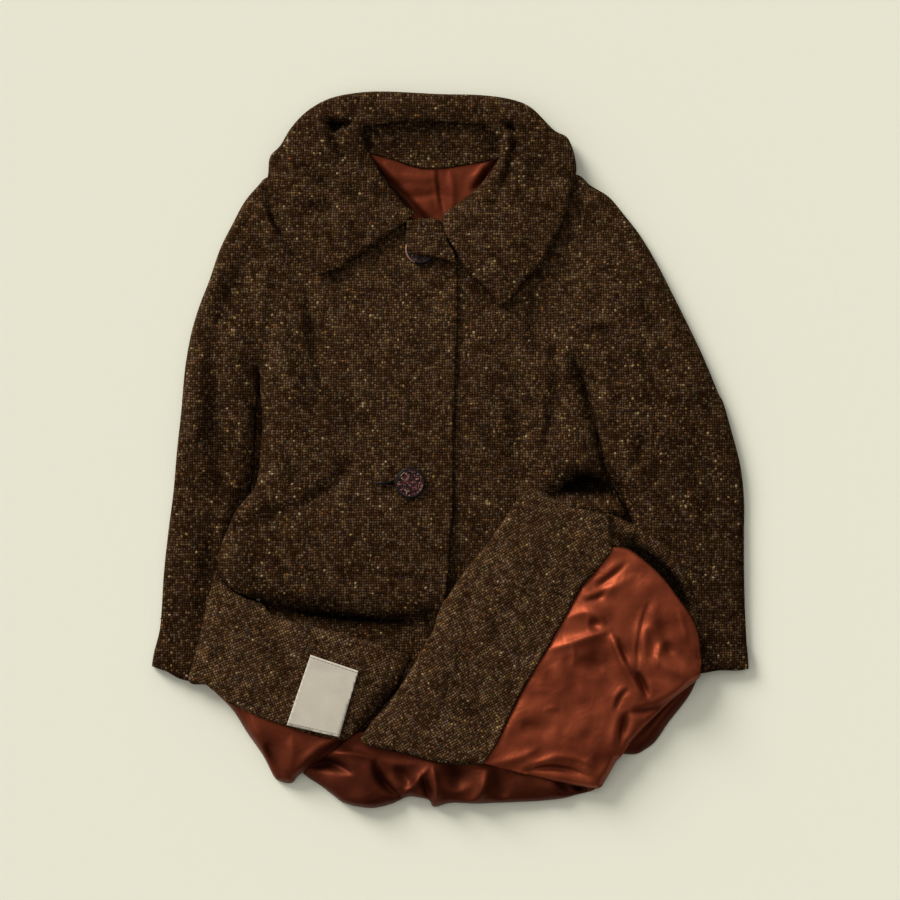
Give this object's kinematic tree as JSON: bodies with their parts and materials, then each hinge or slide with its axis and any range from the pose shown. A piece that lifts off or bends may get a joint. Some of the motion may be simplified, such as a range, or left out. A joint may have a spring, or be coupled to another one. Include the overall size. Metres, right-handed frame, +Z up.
{
  "type": "swing coat",
  "caption": "Tweed swing coat with satin lining, laid flat on its back, buttoned at the neck and front, its skirt folded up to show the facings and the lining.",
  "frame": {"origin": "middle of the coat's outline, on the surface that it lies on", "axes": "+Y from the folded skirt towards the collar, +X towards the coat's left sleeve (the right of the view), +Z up off the surface"},
  "size_m": [0.688, 0.8262, 0.0339],
  "materials": {
    "tweed": "brown flecked tweed, open plain weave, dull and slightly hairy",
    "satin": "copper brown lining satin, smooth with a soft sheen",
    "button": "dark brown moulded button with a basket-patterned face",
    "label": "cream woven patch, bare"
  },
  "bodies": {
    "root": {"back_folded": "tweed", "sleeve_right_back": "tweed", "sleeve_right_front": "tweed", "sleeve_left_back": "tweed", "sleeve_left_front": "tweed", "collar_stand_back": "tweed", "front_left": "tweed", "front_right_skirt": "tweed", "front_right": "tweed", "facing_right": "tweed", "hem_left": "tweed", "facing_left": "tweed", "collar": "tweed", "collar_roll_right": "tweed", "collar_roll_left": "tweed", "neck_tab": "tweed", "buttonhole_front": "tweed", "lining_back_neck": "satin", "lining_back_skirt": "satin", "lining_right_front": "satin", "lining_left_underfold": "satin", "lining_left_front": "satin", "button_front": "button", "button_neck": "button", "label": "label"}
  },
  "joints": []
}
